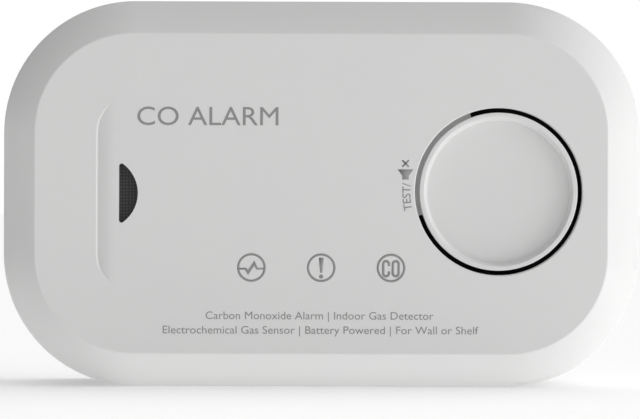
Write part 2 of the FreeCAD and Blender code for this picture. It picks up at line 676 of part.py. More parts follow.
def test_switch_plunger():
    return rod(BUTTON_X, BUTTON_Z, PLUNGER_R, PLUNGER_TIP_Y, SWITCH_TOP_Y + PLUNGER_SUNK)


def circuit_board():
    board = plate(0, MID_Z, BOARD_WIDTH, BOARD_HEIGHT, BOARD_CORNER, BOARD_Y, BOARD_BACK_Y)
    tools = [rod(x, z, BOSS_CLEAR_R, BOARD_Y, BOARD_BACK_Y) for x, z in screw_places()]
    tools += [rod(x, z, BOARD_SCREW_R + SLIP_FIT, BOARD_Y, BOARD_BACK_Y) for x, z in board_screw_places()]
    tools += [rod(x, z, SENSOR_PIN_R + SLIP_FIT, BOARD_Y, BOARD_BACK_Y) for x, z in sensor_pin_places()]
    tools.append(rod(SENSOR_X, SENSOR_Z, SENSOR_INLET_R, BOARD_Y, BOARD_BACK_Y))
    tail_half = TAIL_WIDTH / 2 + 2 * SLIP_FIT
    tools += [block(BAY_X - CONTACT_THICK - 2 * SLIP_FIT, BAY_X + 2 * SLIP_FIT, BOARD_Y, BOARD_BACK_Y,
                    z - tail_half, z + tail_half) for z in CELL_ZS]
    return cut_all(board, tools)


def microcontroller():
    low_z = MID_Z + CHIP_LOW
    return block(CHIP_X - CHIP_WIDTH / 2, CHIP_X + CHIP_WIDTH / 2, BOARD_Y - CHIP_THICK, BOARD_Y - CHIP_LIFT,
                 low_z, low_z + CHIP_LENGTH)


def microcontroller_leads():
    """Small legs down each long side of the chip."""
    inner = CHIP_WIDTH / 2
    outer = inner + LEG_REACH
    first_z = MID_Z + CHIP_LOW + (CHIP_LENGTH - (LEGS_A_SIDE - 1) * LEG_PITCH) / 2
    legs = []
    for i in range(LEGS_A_SIDE):
        z = first_z + i * LEG_PITCH
        for x0, x1 in ((-outer, -inner), (inner, outer)):
            legs.append(block(CHIP_X + x0, CHIP_X + x1, BOARD_Y - LEG_THICK, BOARD_Y,
                              z - LEG_WIDTH / 2, z + LEG_WIDTH / 2))
    return Part.makeCompound(legs)


def crystal():
    x, up = CRYSTAL_PLACE
    length, height, width = CRYSTAL_SIZE
    return plate(x, MID_Z + up, length, width, 0.48 * width, BOARD_Y - height, BOARD_Y)


def capacitors():
    top_y = BOARD_Y - CAPACITOR_HEIGHT
    cans = []
    for x, up in CAPACITOR_PLACES:
        can = rod(x, MID_Z + up, CAPACITOR_R, top_y, BOARD_Y)
        cans.append(can.makeFillet(CAPACITOR_EDGE_R, loop_at(can, top_y)))
    return Part.makeCompound(cans)


def chip_resistors():
    length, height, width = RESISTOR_SIZE
    places = [(x, MID_Z + up) for x in RESISTOR_XS for up in RESISTOR_UPS]
    return Part.makeCompound([block(x - length / 2, x + length / 2, BOARD_Y - height, BOARD_Y,
                                    z - width / 2, z + width / 2) for x, z in places])


def sounder_inductor():
    """Drum core: a waist of windings between two round ends."""
    x, up = INDUCTOR_PLACE
    top_y = BOARD_Y - INDUCTOR_HEIGHT
    return turned(x, MID_Z + up, (0, top_y), [
        (INDUCTOR_R, top_y), (INDUCTOR_R, top_y + INDUCTOR_END),
        (INDUCTOR_WAIST_R, top_y + INDUCTOR_END), (INDUCTOR_WAIST_R, BOARD_Y - INDUCTOR_END),
        (INDUCTOR_R, BOARD_Y - INDUCTOR_END), (INDUCTOR_R, BOARD_Y), (0, BOARD_Y)])


def status_led(index):
    x, z = icon_places()[index]
    length, height, width = LED_SIZE
    return block(x - length / 2, x + length / 2, BOARD_Y - height, BOARD_Y, z - width / 2, z + width / 2)


def light_guide(index):
    x, z = icon_places()[index]
    return rod(x, z, GUIDE_R, FACE_IN_Y - GUIDE_REACH, GUIDE_END_Y)


def light_shroud():
    """Three black tubes on one web that keep each light to its own icon."""
    places = icon_places()
    tubes = [rod(x, z, SHROUD_R, FACE_IN_Y + SLIP_FIT, BOARD_Y) for x, z in places]
    web = block(places[0][0], places[2][0], BOARD_Y - SHROUD_WEB_DEEP, BOARD_Y,
                ICON_Z - SHROUD_WEB_HALF, ICON_Z + SHROUD_WEB_HALF)
    bores = [rod(x, z, GUIDE_R + SLIP_FIT, FACE_IN_Y, BOARD_Y) for x, z in places]
    return cut_all(join(tubes + [web]), bores)


def dust_screen():
    half_width = SCREEN_WIDTH / 2 - SLIP_FIT
    half_height = SCREEN_HEIGHT / 2 - SLIP_FIT
    return block(SOUNDER_X - half_width, SOUNDER_X + half_width, FACE_IN_Y - SCREEN_THICK, FACE_IN_Y,
                 MID_Z - half_height, MID_Z + half_height)


def sounder_horn():
    """Round cup with a port behind the slot and a stepped bore for the piezo plate."""
    cup = rod(SOUNDER_X, MID_Z, HORN_R, FACE_IN_Y, HORN_END_Y)
    return cut_all(cup, [
        rod(SOUNDER_X, MID_Z, HORN_PORT_R, FACE_IN_Y, HORN_END_Y),
        rod(SOUNDER_X, MID_Z, HORN_BORE_R, FACE_IN_Y + HORN_FLOOR, HORN_END_Y),
        rod(SOUNDER_X, MID_Z, PIEZO_R + SLIP_FIT, PIEZO_Y - GASKET_THICK, HORN_END_Y),
    ])


def sounder_gasket():
    return ring(SOUNDER_X, MID_Z, PIEZO_R, HORN_BORE_R, PIEZO_Y - GASKET_THICK, PIEZO_Y)


def piezo_plate():
    return rod(SOUNDER_X, MID_Z, PIEZO_R, PIEZO_Y, PIEZO_Y + PIEZO_PLATE)


def piezo_ceramic():
    plate_y = PIEZO_Y + PIEZO_PLATE
    return rod(SOUNDER_X, MID_Z, CERAMIC_R, plate_y, plate_y + CERAMIC_THICK)


def sounder_retainer():
    return ring(SOUNDER_X, MID_Z, PIEZO_R, PIEZO_R - RETAINER_WALL, PIEZO_Y + PIEZO_PLATE, HORN_END_Y)


def sounder_contact_pins():
    """Spring pins from the board to the ceramic's middle and to the brass plate's edge."""
    plate_y = PIEZO_Y + PIEZO_PLATE
    middle = rod(SOUNDER_X, MID_Z, CONTACT_PIN_R, plate_y + CERAMIC_THICK, BOARD_Y)
    edge = rod(SOUNDER_X + CONTACT_PIN_OUT, MID_Z, CONTACT_PIN_R, plate_y, BOARD_Y)
    return Part.makeCompound([middle, edge])


def sensor_pin_places():
    """Three pins on a circle round the sensor's middle."""
    turns = [math.radians(angle) for angle in (90, 210, 330)]
    return [(SENSOR_X + SENSOR_PIN_OUT * math.cos(turn), SENSOR_Z + SENSOR_PIN_OUT * math.sin(turn))
            for turn in turns]


def sensor_can():
    can = rod(SENSOR_X, SENSOR_Z, SENSOR_R, SENSOR_FRONT_Y, SENSOR_BACK_Y)
    return can.makeFillet(SENSOR_EDGE_R, loop_at(can, SENSOR_BACK_Y))


def sensor_filter():
    return rod(SENSOR_X, SENSOR_Z, FILTER_R, SENSOR_FRONT_Y - FILTER_THICK, SENSOR_FRONT_Y)


def sensor_pins():
    return Part.makeCompound([rod(x, z, SENSOR_PIN_R, BOARD_Y - THROUGH, SENSOR_FRONT_Y)
                              for x, z in sensor_pin_places()])


def sensor_pad():
    return rod(SENSOR_X, SENSOR_Z, SENSOR_PAD_R, SENSOR_BACK_Y, BACK_Y - RECESS_DEPTH - RECESS_FLOOR)


def cell(z, nub_side):
    """AA cell along X, with its nub on the side given as -1 or 1."""
    half = CELL_LENGTH / 2
    can = Part.makeCylinder(CELL_R, CELL_LENGTH - NUB_LENGTH, V(-half, CELL_Y, z), V(1, 0, 0))
    can = can.makeFillet(CELL_EDGE_R, can.Edges)
    nub_reach = NUB_LENGTH + ROOT
    nub = Part.makeCylinder(NUB_R, nub_reach, V(half - nub_reach, CELL_Y, z), V(1, 0, 0))
    body = join([can, nub])
    if nub_side < 0:
        body = body.mirror(V(0, 0, 0), V(1, 0, 0))
    return body


def contact(side, zs, has_tails):
    """Strip-metal contact on a bay end wall, with a bowed leaf for each cell and tails to the board."""
    wall_x = side * BAY_X
    face_x = side * (BAY_X - CONTACT_THICK)
    tip_x = side * (CELL_LENGTH / 2 + SLIP_FIT)
    lows = sorted((wall_x, face_x))
    outer = LEAF_SPAN / 2
    inner = outer - ROOT
    pieces = [block(lows[0], lows[1], CONTACT_FRONT_Y, CONTACT_BACK_Y,
                    zs[0] - CONTACT_OVER, zs[-1] + CONTACT_OVER)]
    for z in zs:
        start = (face_x, z - outer)
        steps = [(tip_x, z, face_x, z + outer), (face_x, z + inner),
                 (tip_x + side * CONTACT_THICK, z, face_x, z - inner)]
        leaf = path_face(start, steps, lambda x, up: V(x, CELL_Y - LEAF_WIDTH / 2, up))
        pieces.append(leaf.extrude(V(0, LEAF_WIDTH, 0)))
        if has_tails:
            pieces.append(block(lows[0], lows[1], BOARD_Y - THROUGH, CONTACT_FRONT_Y + ROOT,
                                z - TAIL_WIDTH / 2, z + TAIL_WIDTH / 2))
    return join(pieces)


def case_screws():
    screws = []
    for x, z in screw_places():
        top_y = SCREW_SEAT_Y + SCREW_HEAD
        screw = join([rod(x, z, SCREW_HEAD_R, SCREW_SEAT_Y, top_y),
                      rod(x, z, SCREW_R - RUN_FIT, SCREW_END_Y, SCREW_SEAT_Y)])
        screws.append(screw.cut(rod(x, z, SCREW_SOCKET_R, top_y - SCREW_SOCKET, top_y)))
    return Part.makeCompound(screws)


def board_screws():
    screws = []
    for x, z in board_screw_places():
        screws.append(join([rod(x, z, BOARD_SCREW_HEAD_R, BOARD_BACK_Y, BOARD_BACK_Y + BOARD_SCREW_HEAD),
                            rod(x, z, BOARD_SCREW_R - RUN_FIT, BOARD_Y - BOARD_SCREW_REACH, BOARD_BACK_Y)]))
    return Part.makeCompound(screws)


def all_nodes():
    """Every separate piece of the alarm, by name."""
    lower_z, upper_z = CELL_ZS
    nodes = {
        "front_cover": front_cover(),
        "rear_housing": rear_housing(),
        "battery_door": battery_door(),
        "wall_plate": wall_plate(),
        "test_button": test_button(),
        "button_surround": button_surround(),
        "test_switch_base": test_switch_base(),
        "test_switch_cover": test_switch_cover(),
        "test_switch_plunger": test_switch_plunger(),
        "circuit_board": circuit_board(),
        "microcontroller": microcontroller(),
        "microcontroller_leads": microcontroller_leads(),
        "crystal": crystal(),
        "capacitors": capacitors(),
        "chip_resistors": chip_resistors(),
        "sounder_inductor": sounder_inductor(),
        "light_shroud": light_shroud(),
        "dust_screen": dust_screen(),
        "sounder_horn": sounder_horn(),
        "sounder_gasket": sounder_gasket(),
        "piezo_plate": piezo_plate(),
        "piezo_ceramic": piezo_ceramic(),
        "sounder_retainer": sounder_retainer(),
        "sounder_contact_pins": sounder_contact_pins(),
        "sensor_can": sensor_can(),
        "sensor_filter": sensor_filter(),
        "sensor_pins": sensor_pins(),
        "sensor_pad": sensor_pad(),
        "lower_cell": cell(lower_z, -1),
        "upper_cell": cell(upper_z, 1),
        "link_contact": contact(-1, CELL_ZS, False),
        "positive_contact": contact(1, [upper_z], True),
        "negative_contact": contact(1, [lower_z], True),
        "case_screws": case_screws(),
        "board_screws": board_screws(),
    }
    for index, light in enumerate(("power", "fault", "alarm")):
        nodes[light + "_led"] = status_led(index)
        nodes[light + "_light_guide"] = light_guide(index)
    return nodes


os.makedirs("parts", exist_ok=True)
for node, shape in all_nodes().items():
    solids = len(shape.Solids)
    print(node, "solids", solids, "volume", round(shape.Volume, 2), "valid", shape.isValid())
    shape.exportStep("parts/" + node + ".step")
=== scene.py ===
import json
import math

import bpy
import numpy as np
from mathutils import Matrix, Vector


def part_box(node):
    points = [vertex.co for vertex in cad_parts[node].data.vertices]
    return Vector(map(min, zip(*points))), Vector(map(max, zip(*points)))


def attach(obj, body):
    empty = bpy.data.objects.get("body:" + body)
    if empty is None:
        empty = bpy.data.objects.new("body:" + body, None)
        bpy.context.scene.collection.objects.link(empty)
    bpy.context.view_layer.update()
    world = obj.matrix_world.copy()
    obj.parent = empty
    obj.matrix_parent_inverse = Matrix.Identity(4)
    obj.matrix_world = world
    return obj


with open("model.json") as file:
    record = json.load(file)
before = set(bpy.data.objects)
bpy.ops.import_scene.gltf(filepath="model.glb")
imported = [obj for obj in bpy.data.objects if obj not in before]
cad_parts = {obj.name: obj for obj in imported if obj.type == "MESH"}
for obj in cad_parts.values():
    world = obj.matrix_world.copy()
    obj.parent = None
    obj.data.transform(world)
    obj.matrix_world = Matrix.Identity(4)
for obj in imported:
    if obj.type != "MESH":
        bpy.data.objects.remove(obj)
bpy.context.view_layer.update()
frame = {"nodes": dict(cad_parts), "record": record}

MM = 0.001

# Places on the face, from the frame
cover_low, cover_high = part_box("front_cover")
FACE_Y = cover_low.y
MID_Z = (cover_low.z + cover_high.z) / 2
button_low, button_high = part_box("test_switch_plunger")
BUTTON = ((button_low.x + button_high.x) / 2, (button_low.z + button_high.z) / 2)
LIGHTS = []
for lamp in ("power", "fault", "alarm"):
    guide_low, guide_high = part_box(lamp + "_light_guide")
    LIGHTS.append(((guide_low.x + guide_high.x) / 2, (guide_low.z + guide_high.z) / 2))

INK_THICK = 0.03 * MM


# ---- materials -------------------------------------------------------------------------------

def linear(hex_colour):
    """sRGB hex to the linear RGBA that the shader sockets take."""
    channels = [int(hex_colour[i:i + 2], 16) / 255 for i in (1, 3, 5)]
    return [c / 12.92 if c <= 0.04045 else ((c + 0.055) / 1.055) ** 2.4 for c in channels] + [1.0]


def add(tree, kind, values=None, links=None, **settings):
    """Adds one node: settings go on the node, values on its inputs, and links join outputs to them."""
    node = tree.nodes.new(kind)
    for name, value in settings.items():
        setattr(node, name, value)
    for name, value in (values or {}).items():
        node.inputs[name].default_value = value
    for name, (source, output) in (links or {}).items():
        tree.links.new(source.outputs[output], node.inputs[name])
    return node


def start_material(name):
    """An empty node tree with the object's own coordinates, its surface shader and its output."""
    material = bpy.data.materials.new(name)
    material.use_nodes = True
    tree = material.node_tree
    tree.nodes.clear()
    place = add(tree, "ShaderNodeTexCoord")
    shader = add(tree, "ShaderNodeBsdfPrincipled")
    add(tree, "ShaderNodeOutputMaterial", links={"Surface": (shader, "BSDF")})
    return material, tree, place, shader


def grained(name, colour, other_colour, roughness, spread, grain_mm, depth_mm, ior, cloud_mm=18.0):
    """A surface with a fine even grain. The colour drifts slowly between two close shades, the
    roughness varies by the spread, and the grain is a shallow relief of the size given."""
    material, tree, place, shader = start_material(name)
    cloud = add(tree, "ShaderNodeTexNoise", {"Scale": 1 / (cloud_mm * MM), "Detail": 3.0},
                {"Vector": (place, "Object")})
    shade = add(tree, "ShaderNodeMix", {6: linear(colour), 7: linear(other_colour)},
                {0: (cloud, "Fac")}, data_type="RGBA")
    grain = add(tree, "ShaderNodeTexNoise", {"Scale": 1 / (grain_mm * MM), "Detail": 2.0, "Roughness": 0.6},
                {"Vector": (place, "Object")})
    gloss = add(tree, "ShaderNodeMapRange", {"To Min": roughness - spread, "To Max": roughness + spread},
                {"Value": (grain, "Fac")})
    relief = add(tree, "ShaderNodeBump", {"Strength": 0.6, "Distance": depth_mm * MM},
                 {"Height": (grain, "Fac")})
    tree.links.new(shade.outputs[2], shader.inputs["Base Color"])
    tree.links.new(gloss.outputs["Result"], shader.inputs["Roughness"])
    tree.links.new(relief.outputs["Normal"], shader.inputs["Normal"])
    shader.inputs["IOR"].default_value = ior
    return material


def moulded_abs_case():
    """White ABS moulded in a spark-eroded tool: an even satin with a grain that barely shows.
    The real grain is about 0.1 mm and is drawn at 0.35 mm, as fine as the view resolves."""
    return grained("moulded_abs_case", "#E3E3E2", "#E1E1E1", 0.46, 0.04, 0.35, 0.006, 1.53)


def moulded_abs_button():
    """The same white ABS from a smoother tool, a touch glossier where fingers press."""
    return grained("moulded_abs_button", "#E2E2E1", "#E0E0E0", 0.40, 0.03, 0.30, 0.004, 1.53)


def moulded_black_abs():
    """Black ABS that the eye sees only as a dark gap round the button."""
    return grained("moulded_black_abs", "#0D0D0E", "#101011", 0.55, 0.06, 0.30, 0.008, 1.53)


def solder_mask():
    """Green solder mask over woven glass cloth: the weave shows as a faint grid."""
    return grained("solder_mask", "#14512C", "#0F4424", 0.32, 0.06, 0.45, 0.010, 1.55)


def epoxy_package():
    """Black filled epoxy of chips and cores: dead matt with a sandy grain."""
    return grained("epoxy_package", "#1B1B1D", "#222224", 0.70, 0.08, 0.20, 0.010, 1.55)


def sensor_housing():
    """Ivory nylon of the gas sensor's can, slightly waxy."""
    return grained("sensor_housing", "#D9D7CC", "#D2D0C4", 0.50, 0.05, 0.40, 0.008, 1.53)


def porous_membrane():
    """White sintered filter: chalky, with visible pores."""
    return grained("porous_membrane", "#EDECE6", "#E2E1DA", 0.85, 0.08, 0.25, 0.020, 1.40)


def closed_cell_foam():
    """Dark neoprene foam: soft black with small cells in relief."""
    return grained("closed_cell_foam", "#1C1C1E", "#27272A", 0.90, 0.05, 0.60, 0.060, 1.45)


def silvered_ceramic():
    """Fired silver paste on the piezo disc: pale grey, finely speckled."""
    return grained("silvered_ceramic", "#C9C8C2", "#BDBCB5", 0.45, 0.10, 0.30, 0.006, 1.60)


def cell_sleeve():
    """Shrunk plastic sleeve of an AA cell: dark grey, smooth, with a slight orange peel."""
    return grained("cell_sleeve", "#3A3C40", "#34363A", 0.28, 0.04, 1.20, 0.010, 1.50)


def drawn_metal(name, colour, other_colour, roughness, spread, streak_mm):
    """Metal with fine drawing lines: a noise stretched along Z varies the roughness and relief."""
    material, tree, place, shader = start_material(name)
    stretch = add(tree, "ShaderNodeMapping", {"Scale": (1.0, 1.0, 0.06)}, {"Vector": (place, "Object")})
    lines = add(tree, "ShaderNodeTexNoise", {"Scale": 1 / (streak_mm * MM), "Detail": 3.0},
                {"Vector": (stretch, "Vector")})
    shade = add(tree, "ShaderNodeMix", {6: linear(colour), 7: linear(other_colour)},
                {0: (lines, "Fac")}, data_type="RGBA")
    gloss = add(tree, "ShaderNodeMapRange", {"To Min": roughness - spread, "To Max": roughness + spread},
                {"Value": (lines, "Fac")})
    relief = add(tree, "ShaderNodeBump", {"Strength": 0.5, "Distance": 0.003 * MM},
                 {"Height": (lines, "Fac")})
    tree.links.new(shade.outputs[2], shader.inputs["Base Color"])
    tree.links.new(gloss.outputs["Result"], shader.inputs["Roughness"])
    tree.links.new(relief.outputs["Normal"], shader.inputs["Normal"])
    shader.inputs["Metallic"].default_value = 1.0
    return material


def tinned_steel():
    """Tin-plated spring steel: bright grey with soft drawing lines."""
    return drawn_metal("tinned_steel", "#C3C2BE", "#AFAEAA", 0.30, 0.10, 0.25)


def zinc_plated_steel():
    """Zinc-plated screw steel: cooler and duller than tin."""
    return drawn_metal("zinc_plated_steel", "#A9ACAF", "#94979B", 0.36, 0.10, 0.30)


def drawn_aluminium():
    """Drawn aluminium of the capacitor cans."""
    return drawn_metal("drawn_aluminium", "#C9CBCE", "#B6B9BD", 0.32, 0.08, 0.30)


def rolled_brass():
    """Rolled brass of the piezo plate: warm yellow with rolling lines."""
    return drawn_metal("rolled_brass", "#D9B565", "#C7A24F", 0.28, 0.08, 0.25)


def woven_screen():
    """Black dust screen: threads 0.3 mm apart over and under each other, with a painted highlight: the
    thread tops are coloured dark grey where they would catch the light. It is drawn at 0.6 mm, as fine as
    the view resolves."""
    material, tree, place, shader = start_material("woven_screen")
    pitch = 0.6 * MM
    wave_length = 0.314  # of the wave texture at scale 1
    waves = []
    for direction in ("X", "Z"):
        waves.append(add(tree, "ShaderNodeTexWave", {"Scale": wave_length / pitch},
                         {"Vector": (place, "Object")},
                         wave_type="BANDS", bands_direction=direction, wave_profile="SIN"))
    weave = add(tree, "ShaderNodeMath", {}, {0: (waves[0], "Fac"), 1: (waves[1], "Fac")},
                operation="MULTIPLY")
    # painted highlight: the weave's raised crossings are coloured lighter grey, standing in for light caught
    # on the black threads
    shade = add(tree, "ShaderNodeMix", {6: linear("#2E2E2F"), 7: linear("#4B4B4C")},
                {0: (weave, "Value")}, data_type="RGBA")
    gloss = add(tree, "ShaderNodeMapRange", {"To Min": 0.75, "To Max": 0.55},
                {"Value": (weave, "Value")})
    relief = add(tree, "ShaderNodeBump", {"Strength": 0.7, "Distance": 0.08 * MM},
                 {"Height": (weave, "Value")})
    tree.links.new(shade.outputs[2], shader.inputs["Base Color"])
    tree.links.new(gloss.outputs["Result"], shader.inputs["Roughness"])
    tree.links.new(relief.outputs["Normal"], shader.inputs["Normal"])
    shader.inputs["IOR"].default_value = 1.50
    return material


def cast_resin(name, colour, clearness, ior):
    """Clear cast plastic with faint swirls: light goes through it and its colour shows in depth."""
    material, tree, place, shader = start_material(name)
    swirl = add(tree, "ShaderNodeTexNoise", {"Scale": 1 / (2.0 * MM), "Detail": 2.0},
                {"Vector": (place, "Object")})
    gloss = add(tree, "ShaderNodeMapRange", {"To Min": 0.06, "To Max": 0.14},
                {"Value": (swirl, "Fac")})
    tree.links.new(gloss.outputs["Result"], shader.inputs["Roughness"])
    shader.inputs["Base Color"].default_value = linear(colour)
    shader.inputs["Transmission Weight"].default_value = clearness
    shader.inputs["IOR"].default_value = ior
    return material


def pad_print():
    """Grey pad-printing ink: a thin dry film, matter than the plastic, a little uneven in strength."""
    return grained("pad_print", "#8F8F8F", "#959595", 0.62, 0.05, 0.20, 0.002, 1.50, cloud_mm=1.5)


SLOT_FINISH = {
    "case_white": moulded_abs_case(),
    "button_white": moulded_abs_button(),
    "black_plastic": moulded_black_abs(),
    "board_green": solder_mask(),
    "chip_black": epoxy_package(),
    "plated_steel": tinned_steel(),
    "screw_steel": zinc_plated_steel(),
    "capacitor_can": drawn_aluminium(),
    "dust_screen": woven_screen(),
    "foam": closed_cell_foam(),
    "brass": rolled_brass(),
    "piezo_ceramic": silvered_ceramic(),
    "sensor_plastic": sensor_housing(),
    "filter_white": porous_membrane(),
    "cell_sleeve": cell_sleeve(),
    "led_green": cast_resin("green_resin", "#9BE89B", 0.6, 1.54),
    "led_amber": cast_resin("amber_resin", "#F2B04A", 0.6, 1.54),
    "led_red": cast_resin("red_resin", "#E8584A", 0.6, 1.54),
    "light_guide": cast_resin("clear_polycarbonate", "#F4F6F8", 0.95, 1.585),
}
INK = pad_print()

for entry in frame["record"]["subparts"]:
    node = frame["nodes"][entry["node"]]
    node.data.materials.clear()
    node.data.materials.append(SLOT_FINISH[entry["material_slot"]])


# ---- printed marks ---------------------------------------------------------------------------

def face_piece(name, points, faces):
    """A printed mark from points (x, height above the face, z) in metres, riding on the case."""
    mesh = bpy.data.meshes.new(name)
    mesh.from_pydata([], [], [])
    placed = np.column_stack([points[:, 0], FACE_Y - points[:, 1], points[:, 2]])
    mesh.vertices.add(len(placed))
    mesh.vertices.foreach_set("co", placed.astype(np.float32).ravel())
    mesh.loops.add(faces.size)
    mesh.loops.foreach_set("vertex_index", faces.astype(np.int32).ravel())
    mesh.polygons.add(len(faces))
    mesh.polygons.foreach_set("loop_start", np.arange(0, faces.size, faces.shape[1], dtype=np.int32))
    mesh.update(calc_edges=True)
    mesh.materials.append(INK)
    piece = bpy.data.objects.new(name, mesh)
    bpy.context.collection.objects.link(piece)
    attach(piece, "case")
    return piece


def stroke(name, centre, path, half_widths, closed=False):
    """A strip of ink: at each point of a path in the face's plane a flat four-cornered section, as
    wide as twice the half width and as tall as the ink film, stands square to the path. The path's
    direction at a point is the mean of the runs on each side, and the width is opened at a turn so
    that both edges stay parallel to the runs."""
    path = np.asarray(path, float)
    widths = np.broadcast_to(np.asarray(half_widths, float), (len(path),))
    ahead = np.roll(path, -1, axis=0) - path
    behind = path - np.roll(path, 1, axis=0)
    if not closed:
        ahead[-1] = behind[-1]
        behind[0] = ahead[0]
    ahead /= np.linalg.norm(ahead, axis=1)[:, None]
    behind /= np.linalg.norm(behind, axis=1)[:, None]
    along = ahead + behind
    along /= np.linalg.norm(along, axis=1)[:, None]
    across = np.column_stack([-along[:, 1], along[:, 0]])
    opened = widths / np.clip(np.sum(along * ahead, axis=1), 0.35, 1.0)
    left = path + across * opened[:, None]
    right = path - across * opened[:, None]
    low = np.zeros(len(path))
    high = np.full(len(path), INK_THICK)
    rings = [(right, low), (right, high), (left, high), (left, low)]
    columns = [np.column_stack([centre[0] + side[:, 0] * MM, height, centre[1] + side[:, 1] * MM])
               for side, height in rings]
    points = np.stack(columns, axis=1).reshape(-1, 3)
    spans = len(path) if closed else len(path) - 1
    i = np.repeat(np.arange(spans), 4)
    k = np.tile(np.arange(4), spans)
    j = (i + 1) % len(path)
    faces = np.column_stack([i * 4 + k, i * 4 + (k + 1) % 4, j * 4 + (k + 1) % 4, j * 4 + k])
    if not closed:
        last = (len(path) - 1) * 4
        faces = np.vstack([faces, [3, 2, 1, 0], [last, last + 1, last + 2, last + 3]])
    return face_piece(name, points, faces)


def circle(radius, count=96):
    """Points round a circle, in millimetres."""
    turn = np.linspace(0, 2 * np.pi, count, endpoint=False)
    return np.column_stack([radius * np.cos(turn), radius * np.sin(turn)])


def oval(half_width, half_height, start, end, count=64):
    """Points along an upright racecourse shape: a circle whose upper and lower halves are moved
    apart, from one angle to another, in degrees."""
    turn = np.radians(np.linspace(start, end, count))
    lift = (half_height - half_width) * np.sign(np.sin(turn)) * (np.abs(np.sin(turn)) > 1e-6)
    return np.column_stack([half_width * np.cos(turn), half_width * np.sin(turn) + lift])


RING_R = 2.68
RING_STROKE = 0.42
for lamp, centre in zip(("power", "fault", "alarm"), LIGHTS):
    stroke(lamp + "_icon_ring", centre, circle(RING_R - RING_STROKE / 2), RING_STROKE / 2, closed=True)

# The marks inside the rings, in millimetres from the ring's centre, with half the width of the line
PULSE = [(-2.35, -0.22), (-1.12, -0.22), (-0.64, -0.92), (0.50, 0.80), (1.02, -0.20), (2.35, -0.20)]
PULSE_WIDTHS = [0.16, 0.19, 0.27, 0.27, 0.19, 0.16]
stroke("power_icon_pulse", LIGHTS[0], PULSE, PULSE_WIDTHS)

BAR = [(0, 1.88), (0, -0.95)]
BAR_WIDTHS = [0.46, 0.20]
DOT_PLACE = (0, -1.65)
stroke("fault_icon_bar", LIGHTS[1], BAR, BAR_WIDTHS)
stroke("fault_icon_dot", LIGHTS[1], circle(0.2, 32) + DOT_PLACE, 0.19, closed=True)

GAS_LETTER_TALL = 1.40
GAS_LETTER_WIDTH = 0.24
C_PLACE = (-0.925, -0.14)
C_HALF_WIDTH = 0.54
C_TIP = [(C_HALF_WIDTH, 0.5)]
C_BOW = oval(C_HALF_WIDTH, GAS_LETTER_TALL, 2, 358)
C_PATH = np.vstack([C_TIP, C_BOW, np.multiply(C_TIP, (1, -1))])
O_PLACE = (0.885, -0.14)
O_PATH = oval(0.55, GAS_LETTER_TALL, 0, 354, 60)
stroke("alarm_icon_c", LIGHTS[2], C_PATH + C_PLACE, GAS_LETTER_WIDTH)
stroke("alarm_icon_o", LIGHTS[2], O_PATH + O_PLACE, GAS_LETTER_WIDTH, closed=True)


CAPITAL = 0.682  # height of a capital in the letters' own unit


def lettering(name, words, height_mm, width_mm, weight=0.0):
    """Flat letters as points (x, y) and triangles: the capitals are as tall as the height, and the
    line is drawn in to the width."""
    curve = bpy.data.curves.new(name, "FONT")
    curve.body = words
    curve.offset = weight
    curve.resolution_u = 4
    letters = bpy.data.objects.new(name, curve)
    bpy.context.collection.objects.link(letters)
    bpy.context.view_layer.update()
    flat = bpy.data.meshes.new_from_object(letters)
    bpy.data.objects.remove(letters)
    flat.calc_loop_triangles()
    points = np.zeros(len(flat.vertices) * 3)
    flat.vertices.foreach_get("co", points)
    points = points.reshape(-1, 3)[:, :2]
    triangles = np.zeros(len(flat.loop_triangles) * 3, dtype=np.int32)
    flat.loop_triangles.foreach_get("vertices", triangles)
    bpy.data.meshes.remove(flat)
    points -= points.min(axis=0) * (1, 0)
    points[:, 1] *= height_mm / CAPITAL
    points[:, 0] *= width_mm / points[:, 0].max()
    return points, triangles.reshape(-1, 3)


def print_letters(name, points, triangles):
    """Letters as an ink film: the flat shapes at the film's height, with their faces outwards."""
    across = points[triangles[:, 1]] - points[triangles[:, 0]]
    down = points[triangles[:, 2]] - points[triangles[:, 0]]
    turned = across[:, 0] * down[:, 1] - across[:, 1] * down[:, 0] < 0
    triangles[turned] = triangles[turned][:, ::-1]
    heights = np.full(len(points), INK_THICK)
    return face_piece(name, np.column_stack([points[:, 0], heights, points[:, 1]]), triangles)


def text_line(name, words, height_mm, width_mm, middle_mm, baseline_mm, weight=0.0):
    """A straight line of print, centred on a place on the face."""
    points, triangles = lettering(name, words, height_mm, width_mm, weight)
    points[:, 0] += middle_mm - width_mm / 2
    points[:, 1] += baseline_mm
    return print_letters(name, points * MM + (0, MID_Z), triangles)


def curved_line(name, words, height_mm, width_mm, radius_mm, start_angle, weight=0.0):
    """A line of print bent round the button: along the line turns clockwise from the start angle,
    and up the letters goes outwards from the radius."""
    points, triangles = lettering(name, words, height_mm, width_mm, weight)
    turn = np.radians(start_angle) - points[:, 0] / radius_mm
    reach = (radius_mm + points[:, 1]) * MM
    bent = np.column_stack([BUTTON[0] + reach * np.cos(turn), BUTTON[1] + reach * np.sin(turn)])
    return print_letters(name, bent, triangles)


TITLE = "CO ALARM"
CAPTION_UPPER = "Carbon Monoxide Alarm | Indoor Gas Detector"
CAPTION_LOWER = "Electrochemical Gas Sensor | Battery Powered | For Wall or Shelf"
CAPTION_HEIGHT = 1.42
text_line("title_line", TITLE, 3.4, 26.4, -21.2, 12.75)
text_line("caption_line_upper", CAPTION_UPPER, CAPTION_HEIGHT, 42.6, -0.2, -23.5)
text_line("caption_line_lower", CAPTION_LOWER, CAPTION_HEIGHT, 59.0, 0.0, -26.2)
curved_line("test_label", "TEST/", 1.5, 4.9, 16.5, 192.0, 0.006)

